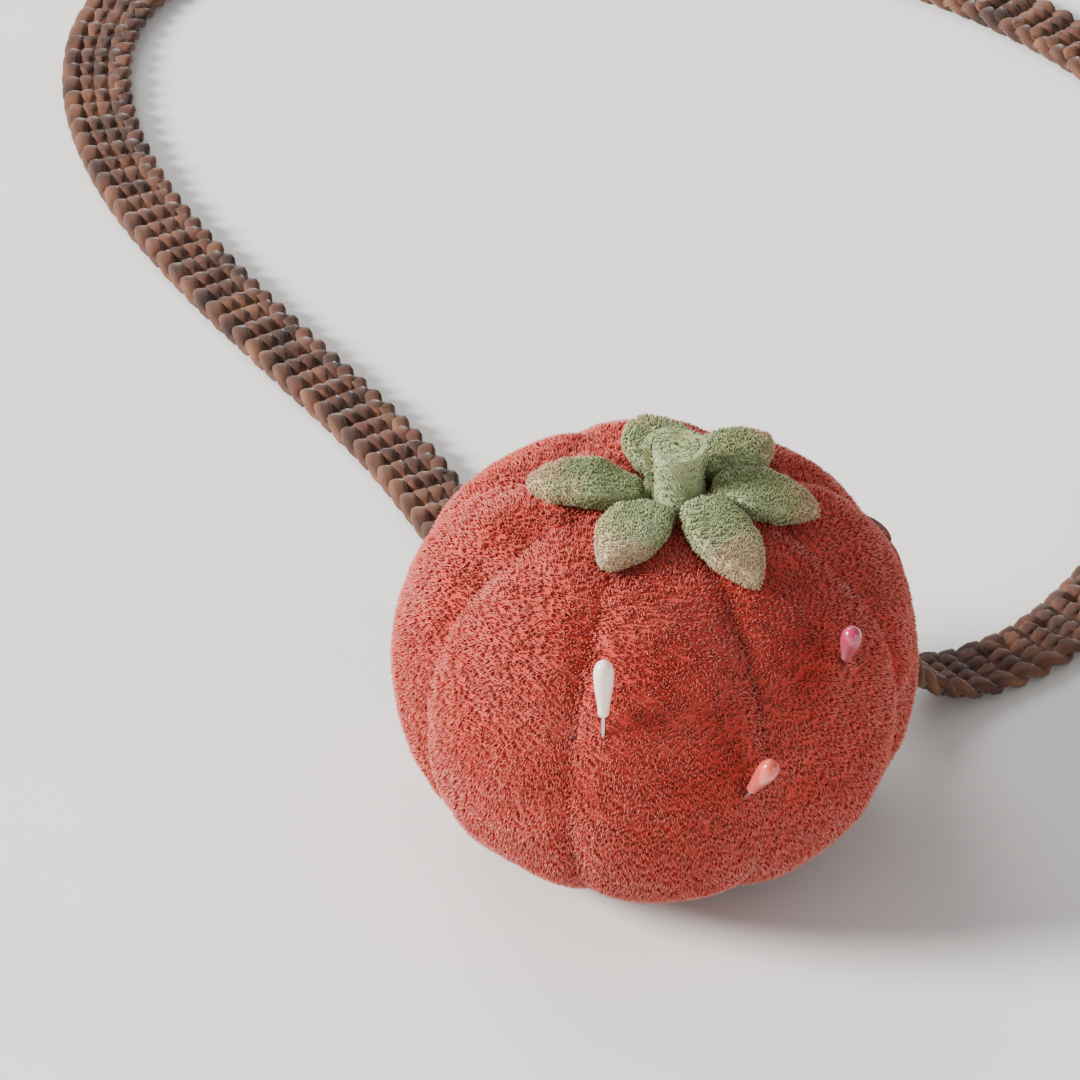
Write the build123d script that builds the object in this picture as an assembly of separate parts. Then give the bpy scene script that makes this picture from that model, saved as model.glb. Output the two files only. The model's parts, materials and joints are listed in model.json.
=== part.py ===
from build123d import *
import os
from math import atan2, cos, degrees, exp, hypot, radians, sin, tan

# A small stuffed tomato pincushion, worn on a flat braided strap, with three pins that pull out.
# Millimetres. +Z is up through the stem, -Y is the front, and the origin is the middle of the
# felt base, on the surface that it stands on.

# Cushion
WIDTH = 64.0
HEIGHT = 50.0
WAIST_HEIGHT = 25.5
FOOT_RADIUS = 13.0
ROUNDNESS = 2.35
DIMPLE_DEPTH = 2.2
DIMPLE_RADIUS = 7.0
FABRIC = 1.5
GORES = 8
FIRST_SEAM = 205.0
SEAM_WIDTH = 0.8
SEAM_SINK = 0.3
SEAM_START_RADIUS = 6.0
BASE_RADIUS = 14.0
BASE_THICKNESS = 1.5
SEWN_GAP = 0.2

# Tuft through the middle: a button below the stuffing and a thread up into the stem
BUTTON_RADIUS = 4.6
BUTTON_THICKNESS = 1.3
THREAD_RADIUS = 0.6
THREAD_CLEARANCE = 0.1
THREAD_IN_STEM = 3.5
TOP_HOLE_RADIUS = 1.2

# Calyx and stem
CALYX_OFFSET = 2.5
LEAF_THICKNESS = 2.2
LEAF_WIDTH = 8.0
LEAF_BASE_WIDTH = 3.0
LEAF_WIDEST = 9.5
LEAVES = ((-7, 17.0), (47, 16.5), (104, 15.0), (176, 18.0), (240, 17.5), (299, 19.0))
STEM_RADIUS = 4.3
STEM_WAIST_INSET = 0.6
STEM_RISE = 6.2

# Strap, and the two felt anchors that hold its ends on the back of the cushion
STRAP_WIDTH = 10.0
STRAP_THICKNESS = 3.0
ANCHOR_ANGLES = {"left": 112.0, "right": 35.0}
ANCHOR_WIDTH = 14.0
ANCHOR_BOTTOM = 26.0
ANCHOR_TOP = 37.0
ANCHOR_THICKNESS = 3.2
ANCHOR_GAP = 0.3
STITCH_WIDTH = 0.8
STITCH_LENGTH = 6.0
STITCH_HEIGHT = 0.7
STITCH_GAP = 0.05
STITCH_INSET = 2.6
STRAP_ROUTE = (
    (-12.7, 31.4, 26.0),
    (-12.7, 31.4, 19.0),
    (-13.5, 33.3, 11.3),
    (-15.4, 38.1, 5.1),
    (-18.3, 45.3, 1.5),
    (-24.0, 59.4, 1.5),
    (-33.5, 80.0, 1.5),
    (-47.0, 101.0, 1.5),
    (-60.0, 122.0, 1.5),
    (-71.0, 144.0, 1.5),
    (-77.0, 167.0, 1.5),
    (-76.0, 190.0, 1.5),
    (-64.0, 208.0, 1.5),
    (-43.0, 218.0, 1.5),
    (-19.0, 220.0, 1.5),
    (5.0, 216.0, 1.5),
    (28.0, 208.0, 1.5),
    (49.0, 195.0, 1.5),
    (66.0, 177.0, 1.5),
    (78.0, 156.0, 1.5),
    (84.0, 132.0, 1.5),
    (84.0, 108.0, 1.5),
    (78.0, 85.0, 1.5),
    (67.0, 62.0, 1.5),
    (52.4, 36.7, 1.5),
    (40.0, 28.0, 1.5),
    (33.7, 23.6, 5.1),
    (29.5, 20.6, 11.3),
    (27.8, 19.4, 19.0),
    (27.8, 19.4, 26.0),
)

# Pins: where the shank enters (angle round the cushion, height), then the way that the point
# goes in (its heading in plan and its dip below level)
PINS = {
    "white": (257.6, 35.6, 90.0, 80.0),
    "magenta": (319.9, 37.5, 95.0, 55.0),
    "coral": (289.2, 26.3, 115.0, 53.0),
}
SHANK_RADIUS = 0.3
SHANK_CLEARANCE = 0.05
SHANK_IN_CUSHION = 23.0
SHANK_SHOWING = 2.5
SHANK_IN_HEAD = 5.0
POINT_LENGTH = 3.0
POINT_TIP_RADIUS = 0.05
CHANNEL_END = 0.5
HEAD_LENGTH = 9.0
HEAD_RADIUS = 1.3
HEAD_NECK_RADIUS = 0.65
HEAD_WAIST_RADIUS = 1.118
HEAD_WAIST_PLACE = 4.05
HEAD_BORE_CLEARANCE = 0.02

OUTLINE_STEPS = 16
REACH = 200.0

radius = WIDTH / 2
upper_half = HEIGHT - WAIST_HEIGHT
stem_top = HEIGHT + STEM_RISE
stem_waist = STEM_RADIUS - STEM_WAIST_INSET
foot_share = (1 - (FOOT_RADIUS / radius) ** ROUNDNESS) ** (1 / ROUNDNESS)
lower_half = (WAIST_HEIGHT - BASE_THICKNESS) / foot_share


def outline(angle):
    """Radius and height of the cushion's surface, from -90 at the foot to 90 at the stem."""
    power = 2 / ROUNDNESS
    up = sin(radians(angle))
    across = radius * max(cos(radians(angle)), 0.0) ** power
    if up < 0:
        return across, WAIST_HEIGHT - lower_half * (-up) ** power
    dimple = DIMPLE_DEPTH * exp(-((across / DIMPLE_RADIUS) ** 2))
    return across, WAIST_HEIGHT + upper_half * up**power - dimple


def radius_at(height):
    """Radius of the cushion at a height between its foot and its shoulder."""
    half = upper_half if height > WAIST_HEIGHT else lower_half
    share = abs(height - WAIST_HEIGHT) / half
    return radius * (1 - share**ROUNDNESS) ** (1 / ROUNDNESS)


def skin(out):
    """The whole cushion grown outwards by a distance, or shrunk if it is below zero."""
    points = []
    for step in range(OUTLINE_STEPS + 1):
        angle = -90 + 180 * step / OUTLINE_STEPS
        across, height = outline(angle)
        r0, z0 = outline(max(angle - 0.5, -90))
        r1, z1 = outline(min(angle + 0.5, 90))
        dr, dz = r1 - r0, z1 - z0
        if step in (0, OUTLINE_STEPS):
            points.append((0, 0, height + (out if step else -out)))
        else:
            size = hypot(dr, dz)
            points.append((across + out * dz / size, 0, height - out * dr / size))
    curve = Spline(points, tangents=[(1, 0, 0), (-1, 0, 0)])
    closing = Line(points[-1], points[0])
    whole = revolve(make_face(Curve() + [curve, closing]), Axis.Z, 360)
    flat = BASE_THICKNESS - min(out, 0)
    return whole & above(flat)


def above(height):
    return Pos(0, 0, height) * Box(REACH, REACH, REACH, align=(Align.CENTER, Align.CENTER, Align.MIN))


def disc(across, thickness, height):
    return Pos(0, 0, height) * Cylinder(across, thickness, align=(Align.CENTER, Align.CENTER, Align.MIN))


def patch(angle, low, high, width, inner, outer):
    """A piece of a layer round the cushion: its angle, its two heights and its width."""
    block = Box(REACH, width, high - low, align=(Align.MIN, Align.CENTER, Align.MIN))
    return (outer - inner) & (Rot(0, 0, angle) * Pos(0, 0, low) * block)


def wedge(middle):
    """The space of one gore, from which half a seam is left off on each side."""
    half = radians(180 / GORES)
    back = SEAM_WIDTH / 2 / sin(half)
    far, side = back + REACH * cos(half), REACH * sin(half)
    face = make_face(Polyline((back, 0), (far, side), (far, -side), close=True))
    return Rot(0, 0, middle) * extrude(face, REACH)


def pin_place(angle, height, heading, dip):
    """Plane at a pin's entry, whose normal points the way that the pin pulls out."""
    across = radius_at(height)
    entry = (across * cos(radians(angle)), across * sin(radians(angle)), height)
    flat = cos(radians(dip))
    out = (-flat * cos(radians(heading)), -flat * sin(radians(heading)), sin(radians(dip)))
    return Plane(origin=entry, z_dir=out)


def pin_shank():
    tip = -SHANK_IN_CUSHION
    body = SHANK_IN_CUSHION + SHANK_SHOWING + SHANK_IN_HEAD - POINT_LENGTH
    shaft = Cylinder(SHANK_RADIUS, body, align=(Align.CENTER, Align.CENTER, Align.MIN))
    point = Cone(POINT_TIP_RADIUS, SHANK_RADIUS, POINT_LENGTH,
                 align=(Align.CENTER, Align.CENTER, Align.MIN))
    return Pos(0, 0, tip) * (Pos(0, 0, POINT_LENGTH) * shaft + point)


def pin_head():
    """A long drop that is widest near its outer end, with a blind bore for the shank."""
    top = HEAD_LENGTH
    round_from = top - HEAD_RADIUS
    side = Spline(
        [(HEAD_NECK_RADIUS, 0, 0), (HEAD_WAIST_RADIUS, 0, HEAD_WAIST_PLACE), (HEAD_RADIUS, 0, round_from)],
        tangents=[(0.1, 0, 1), (0, 0, 1)],
    )
    slant = HEAD_RADIUS * cos(radians(45))
    cap = ThreePointArc((HEAD_RADIUS, 0, round_from), (slant, 0, round_from + slant), (0, 0, top))
    half = Curve() + [Line((0, 0, 0), (HEAD_NECK_RADIUS, 0, 0)), side, cap, Line((0, 0, top), (0, 0, 0))]
    drop = revolve(make_face(half), Axis.Z, 360)
    bore_radius = SHANK_RADIUS + HEAD_BORE_CLEARANCE
    bore = Cylinder(bore_radius, SHANK_IN_HEAD + HEAD_BORE_CLEARANCE,
                    align=(Align.CENTER, Align.CENTER, Align.MIN))
    return Pos(0, 0, SHANK_SHOWING) * (drop - bore)


def pin_channel():
    long = SHANK_IN_CUSHION + CHANNEL_END + SHANK_SHOWING
    bore = Cylinder(SHANK_RADIUS + SHANK_CLEARANCE, long, align=(Align.CENTER, Align.CENTER, Align.MIN))
    return Pos(0, 0, -SHANK_IN_CUSHION - CHANNEL_END) * bore


def leaf(angle, tip, inner, outer):
    """A pointed felt leaf that lies on the top of the cushion and starts beside the stem."""
    start = STEM_RADIUS + SEWN_GAP
    low, wide = LEAF_BASE_WIDTH / 2, LEAF_WIDTH / 2
    upper = ThreePointArc((start, low), (LEAF_WIDEST, wide), (tip, 0))
    lower = ThreePointArc((tip, 0), (LEAF_WIDEST, -wide), (start, -low))
    face = make_face(Curve() + [upper, lower, Line((start, -low), (start, low))])
    column = Pos(0, 0, WAIST_HEIGHT) * extrude(face, REACH)
    return (outer - inner) & (Pos(CALYX_OFFSET, 0, 0) * Rot(0, 0, angle) * column)


def stem(below):
    """A short rolled stalk, narrower at its middle, seated on the top of the cushion."""
    foot = HEIGHT - 2 * DIMPLE_DEPTH - LEAF_THICKNESS
    side = Spline(
        [(STEM_RADIUS, 0, foot), (stem_waist, 0, (HEIGHT + stem_top) / 2), (STEM_RADIUS, 0, stem_top)]
    )
    corners = Polyline((STEM_RADIUS, 0, stem_top), (0, 0, stem_top), (0, 0, foot), (STEM_RADIUS, 0, foot))
    roll = revolve(make_face(Curve() + [side, corners]), Axis.Z, 360)
    bore_top = HEIGHT - DIMPLE_DEPTH + THREAD_IN_STEM + THREAD_CLEARANCE
    bore = disc(THREAD_RADIUS + THREAD_CLEARANCE, bore_top, 0)
    return (Pos(CALYX_OFFSET, 0, 0) * roll) - below - bore


def strap():
    """The flat strap: straight runs joined by arcs as large as their runs allow."""
    points = [Vector(p) for p in STRAP_ROUTE]
    radii = []
    for before, here, after in zip(points, points[1:], points[2:]):
        one, two = here - before, after - here
        turn = radians(one.get_angle(two))
        radii.append(0.45 * min(one.length, two.length) / tan(turn / 2))
    path = FilletPolyline(*points, radius=radii)
    heading = degrees(atan2(points[3].Y - points[0].Y, points[3].X - points[0].X))
    start = Plane(origin=points[0], x_dir=Vector(-sin(radians(heading)), cos(radians(heading)), 0),
                  z_dir=(0, 0, -1))
    section = start * Rectangle(STRAP_WIDTH, STRAP_THICKNESS)
    body = sweep(section, path)
    print("strap radii", [round(r, 1) for r in radii])
    print("strap length", round(path.length, 1), "volume", round(body.volume, 1),
          "section times length", round(path.length * STRAP_WIDTH * STRAP_THICKNESS, 1))
    return body


def build():
    parts = {}
    places = {name: pin_place(*values) for name, values in PINS.items()}
    channels = [place * pin_channel() for place in places.values()]
    outside = skin(0)
    inside = skin(-FABRIC)

    button_space = disc(BUTTON_RADIUS + SEWN_GAP, FABRIC + 1, BASE_THICKNESS - 0.5)
    top_hole = disc(TOP_HOLE_RADIUS, HEIGHT, WAIST_HEIGHT)
    shell = outside - inside - button_space - top_hole
    for channel in channels:
        shell -= channel
    step = 360 / GORES
    for number in range(GORES):
        middle = FIRST_SEAM + step * (number + 0.5)
        parts[f"gore_{number + 1}"] = shell & wedge(middle)

    seam_layer = skin(-SEAM_SINK) - skin(SEAM_SINK - FABRIC)
    seam_layer -= disc(SEAM_START_RADIUS, REACH, 0)
    slab = Box(REACH, SEAM_WIDTH, REACH, align=(Align.MIN, Align.CENTER, Align.MIN))
    seams = [seam_layer & (Rot(0, 0, FIRST_SEAM + step * n) * slab) for n in range(GORES)]
    parts["seam_threads"] = Compound(children=[s for seam in seams for s in seam.solids()])

    stuffing = skin(-FABRIC - SEWN_GAP) - disc(THREAD_RADIUS + THREAD_CLEARANCE, REACH, 0)
    for channel in channels:
        stuffing -= channel
    parts["stuffing"] = stuffing

    parts["base_felt"] = disc(BASE_RADIUS, BASE_THICKNESS, 0)
    button = disc(BUTTON_RADIUS, BUTTON_THICKNESS, BASE_THICKNESS)
    parts["tuft_button"] = button - disc(THREAD_RADIUS + THREAD_CLEARANCE, REACH, 0)
    thread_top = HEIGHT - DIMPLE_DEPTH + THREAD_IN_STEM
    parts["tuft_thread"] = disc(THREAD_RADIUS, thread_top - BASE_THICKNESS, BASE_THICKNESS)

    clear = skin(SEWN_GAP)
    leaf_top = skin(SEWN_GAP + LEAF_THICKNESS)
    for number, (angle, tip) in enumerate(LEAVES):
        parts[f"calyx_leaf_{number + 1}"] = leaf(angle, tip, clear, leaf_top)
    parts["stem"] = stem(clear)

    anchor_in = skin(ANCHOR_GAP)
    anchor_out = skin(ANCHOR_GAP + ANCHOR_THICKNESS)
    stitch_in = skin(ANCHOR_GAP + ANCHOR_THICKNESS + STITCH_GAP)
    stitch_out = skin(ANCHOR_GAP + ANCHOR_THICKNESS + STITCH_GAP + STITCH_HEIGHT)
    stitches = []
    for side, angle in ANCHOR_ANGLES.items():
        parts[f"strap_anchor_{side}"] = patch(
            angle, ANCHOR_BOTTOM, ANCHOR_TOP, ANCHOR_WIDTH, anchor_in, anchor_out
        )
        for low in (ANCHOR_BOTTOM + STITCH_INSET, ANCHOR_TOP - STITCH_INSET - STITCH_WIDTH):
            bar = patch(angle, low, low + STITCH_WIDTH, STITCH_LENGTH, stitch_in, stitch_out)
            stitches += bar.solids()
    parts["anchor_stitches"] = Compound(children=stitches)
    parts["strap"] = strap()

    for name, place in places.items():
        parts[f"pin_shank_{name}"] = place * pin_shank()
        parts[f"pin_head_{name}"] = place * pin_head()
        print("pin", name, "pulls out along", [round(v, 6) for v in place.z_dir])
    return parts


os.makedirs("parts", exist_ok=True)
for node, shape in build().items():
    export_step(shape, f"parts/{node}.step")
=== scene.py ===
"""Looks of a small stuffed tomato pincushion: a plush cover of eight gores, a felt calyx and
stem, three pearl-headed pins and a flat braided strap. Metres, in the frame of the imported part:
+Z is up through the stem, -Y is the front, and the origin is the middle of the felt base."""

import json
import math

import bpy
import numpy as np
from mathutils import Matrix, Vector, noise

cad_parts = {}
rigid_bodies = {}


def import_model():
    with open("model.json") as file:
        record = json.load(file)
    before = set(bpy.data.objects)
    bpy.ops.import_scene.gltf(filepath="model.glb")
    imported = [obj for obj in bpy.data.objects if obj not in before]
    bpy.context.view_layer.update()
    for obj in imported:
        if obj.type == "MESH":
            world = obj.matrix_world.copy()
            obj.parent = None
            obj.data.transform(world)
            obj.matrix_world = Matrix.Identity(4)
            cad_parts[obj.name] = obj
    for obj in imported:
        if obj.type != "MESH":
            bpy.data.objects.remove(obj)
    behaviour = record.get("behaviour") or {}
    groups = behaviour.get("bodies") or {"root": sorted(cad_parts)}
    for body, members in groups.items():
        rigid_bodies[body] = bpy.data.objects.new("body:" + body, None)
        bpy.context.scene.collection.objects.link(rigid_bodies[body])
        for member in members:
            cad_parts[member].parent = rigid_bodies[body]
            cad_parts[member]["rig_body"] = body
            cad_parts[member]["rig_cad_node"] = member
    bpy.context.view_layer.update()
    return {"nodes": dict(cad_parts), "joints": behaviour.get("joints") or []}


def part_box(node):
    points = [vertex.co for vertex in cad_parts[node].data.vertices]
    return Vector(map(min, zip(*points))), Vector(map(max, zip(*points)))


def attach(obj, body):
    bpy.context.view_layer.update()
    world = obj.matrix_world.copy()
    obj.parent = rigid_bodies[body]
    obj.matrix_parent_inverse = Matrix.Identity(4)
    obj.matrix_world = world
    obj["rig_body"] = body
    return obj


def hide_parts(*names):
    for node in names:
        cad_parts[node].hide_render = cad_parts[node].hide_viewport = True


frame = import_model()

bl_info = {
    "name": "Tomato pincushion",
    "version": (1, 0, 0),
    "blender": (4, 5, 0),
    "location": "3D View > Sidebar > Pincushion",
    "description": "Sews, stuffs and finishes a tomato pincushion around its packed part",
    "category": "Object",
}


def mm(value):
    return value / 1000


def colour(code):
    """Linear RGBA of an sRGB hex colour."""
    parts = [int(code[i : i + 2], 16) / 255 for i in (1, 3, 5)]
    linear = [c / 12.92 if c <= 0.04045 else ((c + 0.055) / 1.055) ** 2.4 for c in parts]
    return (*linear, 1.0)


GORES = sum(name.startswith("gore_") for name in frame["nodes"])
LEAVES = sum(name.startswith("calyx_leaf_") for name in frame["nodes"])
# Seams are counted from the one at the front left.
FIRST_SEAM = math.radians(205)
GORE_TURN = math.tau / GORES
PANEL_COLUMNS = 12
PANEL_ROWS = 44
# How deep each seam is drawn in. The front ones hardly show.
SEAM_DRAW = (1.0, 0.3, 0.2, 0.5, 0.7, 0.7, 0.4, 0.4)
PIN_COLOURS = ("white", "magenta", "coral")
# The filling is simulated on a form ten times the size, which the cloth solver handles better.
SIM_SCALE = 10
SIM_FRAMES = 20

# The strap's centreline, from the left anchor round behind the cushion to the right one.
STRAP_ROUTE = (
    (-0.0127, 0.0314, 0.0260),
    (-0.0127, 0.0314, 0.0190),
    (-0.0135, 0.0333, 0.0113),
    (-0.0154, 0.0381, 0.0051),
    (-0.0183, 0.0453, 0.0015),
    (-0.0240, 0.0594, 0.0015),
    (-0.0335, 0.0800, 0.0015),
    (-0.0470, 0.1010, 0.0015),
    (-0.0600, 0.1220, 0.0015),
    (-0.0710, 0.1440, 0.0015),
    (-0.0770, 0.1670, 0.0015),
    (-0.0760, 0.1900, 0.0015),
    (-0.0640, 0.2080, 0.0015),
    (-0.0430, 0.2180, 0.0015),
    (-0.0190, 0.2200, 0.0015),
    (0.0050, 0.2160, 0.0015),
    (0.0280, 0.2080, 0.0015),
    (0.0490, 0.1950, 0.0015),
    (0.0660, 0.1770, 0.0015),
    (0.0780, 0.1560, 0.0015),
    (0.0840, 0.1320, 0.0015),
    (0.0840, 0.1080, 0.0015),
    (0.0780, 0.0850, 0.0015),
    (0.0670, 0.0620, 0.0015),
    (0.0524, 0.0367, 0.0015),
    (0.0400, 0.0280, 0.0015),
    (0.0337, 0.0236, 0.0051),
    (0.0295, 0.0206, 0.0113),
    (0.0278, 0.0194, 0.0190),
    (0.0278, 0.0194, 0.0260),
)


def length_of(name, text, default, low=0.0):
    return bpy.props.FloatProperty(
        name=name, description=text, default=default, min=low, unit="LENGTH", precision=5
    )


def tint_of(name, text, code):
    return bpy.props.FloatVectorProperty(
        name=name, description=text, default=colour(code), size=4, subtype="COLOR", min=0, max=1
    )


class PINCUSHION_PG_cushion(bpy.types.PropertyGroup):
    """Sizes and colours of the plush cover and what it holds."""

    radius: length_of("Radius", "Radius of the cushion at its waist", mm(30.8))
    height: length_of("Height", "Height of the cushion without its stem", mm(49.2))
    waist: length_of("Waist height", "Height of the widest ring", mm(25.2))
    base: length_of("Base", "Thickness of the felt base below the cover", mm(1.5))
    roundness: bpy.props.FloatProperty(
        name="Roundness", description="2 is an ellipse, and more is squarer", default=2.35, min=1.5
    )
    dimple: length_of("Dimple", "How far the tuft pulls the top in", mm(2.2))
    dimple_radius: length_of("Dimple radius", "How far the tuft's pull reaches", mm(7.0))
    tuck: length_of("Seam tuck", "How deep the seams lie below the panels", mm(1.1))
    tuck_reach: length_of("Tuck reach", "How far a seam pulls its panels in", mm(2.2))
    cloth: length_of("Cover thickness", "Thickness of the plush backing", mm(1.2))
    swell: length_of("Swell", "The furthest that the filling pushes a point out", mm(1.1))
    pile: length_of("Pile length", "Length of the plush pile", mm(0.75))
    tuft: length_of("Tuft width", "Radius of one tuft of pile at its root", mm(0.13))
    tufts: bpy.props.IntProperty(
        name="Tufts", description="Tufts of pile on each gore", default=13500, min=0
    )
    # The root colour is a painted shade and the tip colour a painted highlight; the body and warmer
    # patches are the plush's own reds.
    deep: tint_of("Pile root", "Colour at the root of the pile", "#A2281E")
    body: tint_of("Pile body", "Colour of the pile", "#B22C22")
    tip: tint_of("Pile tip", "Colour at the tip of the pile", "#EC8474")
    warm: tint_of("Pile, warmer", "The warmer red of some patches", "#A8583C")


class PINCUSHION_PG_calyx(bpy.types.PropertyGroup):
    """Sizes and colours of the leaves and the stem."""

    swell: length_of("Swell", "How far a leaf's filling puffs it out", mm(0.5))
    voxel: length_of("Leaf mesh", "Mesh size of a leaf before it is filled", mm(0.62))
    nap: length_of("Nap length", "Length of the brushed nap", mm(0.5))
    fibre: length_of("Nap width", "Radius of one nap tuft at its root", mm(0.1))
    tufts: bpy.props.IntProperty(
        name="Tufts", description="Nap tufts on each leaf", default=3600, min=0
    )
    felt: length_of("Felt thickness", "Thickness of the felt that the stem is rolled from", mm(1.0))
    # The root colour is a painted shade and the tip colour a painted highlight; the body is the
    # felt's own sage green.
    deep: tint_of("Felt root", "Colour at the root of the nap", "#646E46")
    body: tint_of("Felt body", "Sage green of the felt", "#98A074")
    tip: tint_of("Felt tip", "Colour at the tip of the nap", "#B8C09C")
    worn: tint_of("Worn tips", "Brownish colour of the leaves' ends", "#BC9C7C")


class PINCUSHION_PG_strap(bpy.types.PropertyGroup):
    """Sizes and colours of the braided strap, its anchors and the sewing threads."""

    width: length_of("Width", "Width of the strap", mm(10.0))
    thickness: length_of("Thickness", "Thickness of the strap", mm(3.0))
    strands: bpy.props.IntProperty(
        name="Strands", description="Strands in the flat braid", default=9, min=3
    )
    pitch: length_of("Pitch", "Length in which a strand goes across and back", mm(32.0))
    strand: length_of("Strand width", "Width of one flattened strand", mm(2.4))
    light: tint_of("Strand, light", "The lighter brown yarn", "#7E5236")
    middle: tint_of("Strand", "The middle brown yarn", "#5C3420")
    dark: tint_of("Strand, dark", "The dark brown yarn", "#351C0E")
    thread: length_of("Thread", "Thickness of the sewing thread", mm(0.55))
    stitch: length_of("Stitch spacing", "Distance from one seam stitch to the next", mm(2.6))
    seam: tint_of("Seam thread", "Colour of the thread in the seams", "#8A221A")
    tack: tint_of("Anchor thread", "Colour of the thread on the anchors", "#7A2218")
    felt: tint_of("Anchor felt", "Colour of the anchors and the base", "#9E2A20")


class PINCUSHION_PG_pins(bpy.types.PropertyGroup):
    """Sizes and colours of the pins."""

    length: length_of("Head length", "Length of a pin's drop-shaped head", mm(9.0))
    radius: length_of("Head radius", "Largest radius of the head", mm(1.3))
    neck: length_of("Neck radius", "Radius where the shank enters the head", mm(0.65))
    white: tint_of("White pearl", "Colour of the white head", "#F0CFC4")
    magenta: tint_of("Magenta pearl", "Colour of the magenta head", "#9C1440")
    coral: tint_of("Coral pearl", "Colour of the coral head", "#C8402C")


class PINCUSHION_PG_studio(bpy.types.PropertyGroup):
    """Camera, lights and floor."""

    distance: length_of("Distance", "From the camera to the cushion", 1.0)
    framed: length_of("Framed width", "Width that the picture takes in at the cushion", mm(132))
    aside: length_of("Aside", "How far the view is aimed to the left of the cushion", mm(14))
    above: length_of("Above", "How far the view is aimed above the cushion", mm(14))
    elevation: bpy.props.FloatProperty(
        name="Elevation", description="Height of the view above level", subtype="ANGLE",
        default=math.radians(35),
    )
    floor: tint_of("Floor", "Colour of the floor", "#E6E3DE")
    air: tint_of("Room light", "Colour of the light from all round", "#F2F4F8")


# Selecting, copying and shaping meshes


def deselect():
    if bpy.context.object and bpy.context.object.mode != "OBJECT":
        bpy.ops.object.mode_set(mode="OBJECT")
    bpy.ops.object.select_all(action="DESELECT")


def pick(piece):
    """Makes a piece the only selected and the active object."""
    deselect()
    piece.select_set(True)
    bpy.context.view_layer.objects.active = piece
    return piece


def modify(piece, kind, **settings):
    """Adds a modifier and applies it."""
    pick(piece)
    modifier = piece.modifiers.new(kind.title(), kind)
    for name, value in settings.items():
        setattr(modifier, name, value)
    bpy.ops.object.modifier_apply(modifier=modifier.name)
    return piece


def edit_all(piece, operator, **settings):
    """Runs an edit-mode operator on the whole of a mesh."""
    pick(piece)
    bpy.ops.object.mode_set(mode="EDIT")
    bpy.ops.mesh.select_all(action="SELECT")
    operator(**settings)
    bpy.ops.object.mode_set(mode="OBJECT")
    return piece


def copied(source, name):
    """A copy with a mesh of its own."""
    piece = source.copy()
    piece.data = source.data.copy()
    piece.name = name
    piece.data.name = name
    bpy.context.scene.collection.objects.link(piece)
    return piece


def node_copy(node, name):
    """A merged copy of a CAD node, free of its body."""
    piece = copied(frame["nodes"][node], name)
    piece.parent = None
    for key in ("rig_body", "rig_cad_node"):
        del piece[key]
    piece.hide_render = piece.hide_viewport = False
    return edit_all(piece, bpy.ops.mesh.remove_doubles, threshold=mm(0.002))


def joined(pieces, name):
    """One piece made of several, in their order."""
    deselect()
    for piece in pieces:
        piece.select_set(True)
    bpy.context.view_layer.objects.active = pieces[0]
    bpy.ops.object.join()
    pieces[0].name = name
    pieces[0].data.name = name
    return pieces[0]


def points_of(mesh):
    points = np.empty(len(mesh.vertices) * 3, np.float32)
    mesh.vertices.foreach_get("co", points)
    return points.reshape(-1, 3).astype(float)


def normals_of(mesh):
    normals = np.empty(len(mesh.vertices) * 3, np.float32)
    mesh.vertices.foreach_get("normal", normals)
    return normals.reshape(-1, 3).astype(float)


def set_points(mesh, points):
    mesh.vertices.foreach_set("co", np.asarray(points, np.float32).ravel())
    mesh.update()


def add_values(piece, name, values):
    """A value at each point, which a material reads by its name."""
    piece.data.attributes.new(name, "FLOAT", "POINT").data.foreach_set("value", values)


def add_map(piece, name, corners):
    piece.data.uv_layers.new(name=name).uv.foreach_set(
        "vector", np.asarray(corners, np.float32).ravel()
    )


def smooth(piece):
    piece.data.polygons.foreach_set("use_smooth", [True] * len(piece.data.polygons))
    return piece


def unit(vectors):
    """Vectors of length 1 along the given ones."""
    return vectors / np.maximum(np.linalg.norm(vectors, axis=-1, keepdims=True), 1e-12)


def lying(vectors, normals):
    """Vectors without the part of them that runs along the normals."""
    return vectors - normals * (vectors * normals).sum(-1, keepdims=True)


def run_length(line):
    """How far along a line each of its points is."""
    return np.concatenate([[0], np.cumsum(np.linalg.norm(np.diff(line, axis=0), axis=1))])


def sampled(places, far, values):
    """Values that belong to points along a line, read off at other places along it."""
    return np.stack([np.interp(places, far, values[:, k]) for k in range(3)], 1)


def mesh_piece(name, points, faces):
    mesh = bpy.data.meshes.new(name)
    mesh.from_pydata(np.asarray(points).tolist(), [], faces)
    piece = bpy.data.objects.new(name, mesh)
    bpy.context.scene.collection.objects.link(piece)
    return piece


def dress(piece, material, body="root", stands_for=()):
    """Gives a finished piece its material and body, and hides the CAD nodes that it stands for."""
    piece.data.materials.clear()
    piece.data.materials.append(material)
    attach(piece, body)
    if stands_for:
        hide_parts(*stands_for)
    return piece


def wander(points, size, seed):
    """Smooth noise from -1 to 1 at each point, for lumps of a given size."""
    shift = Vector((seed * 17.3, seed * 5.1, seed * 9.7))
    return np.array([noise.noise(Vector(p) / size + shift) for p in points])


def lumpy(piece, *lumps, rise=0.0):
    """A piece's points, moved out by lumps that each have a size, a height and a seed."""
    points = points_of(piece.data)
    out = rise + sum(wander(points, size, seed) * height for size, height, seed in lumps)
    return points + normals_of(piece.data) * out[:, None]


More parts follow.
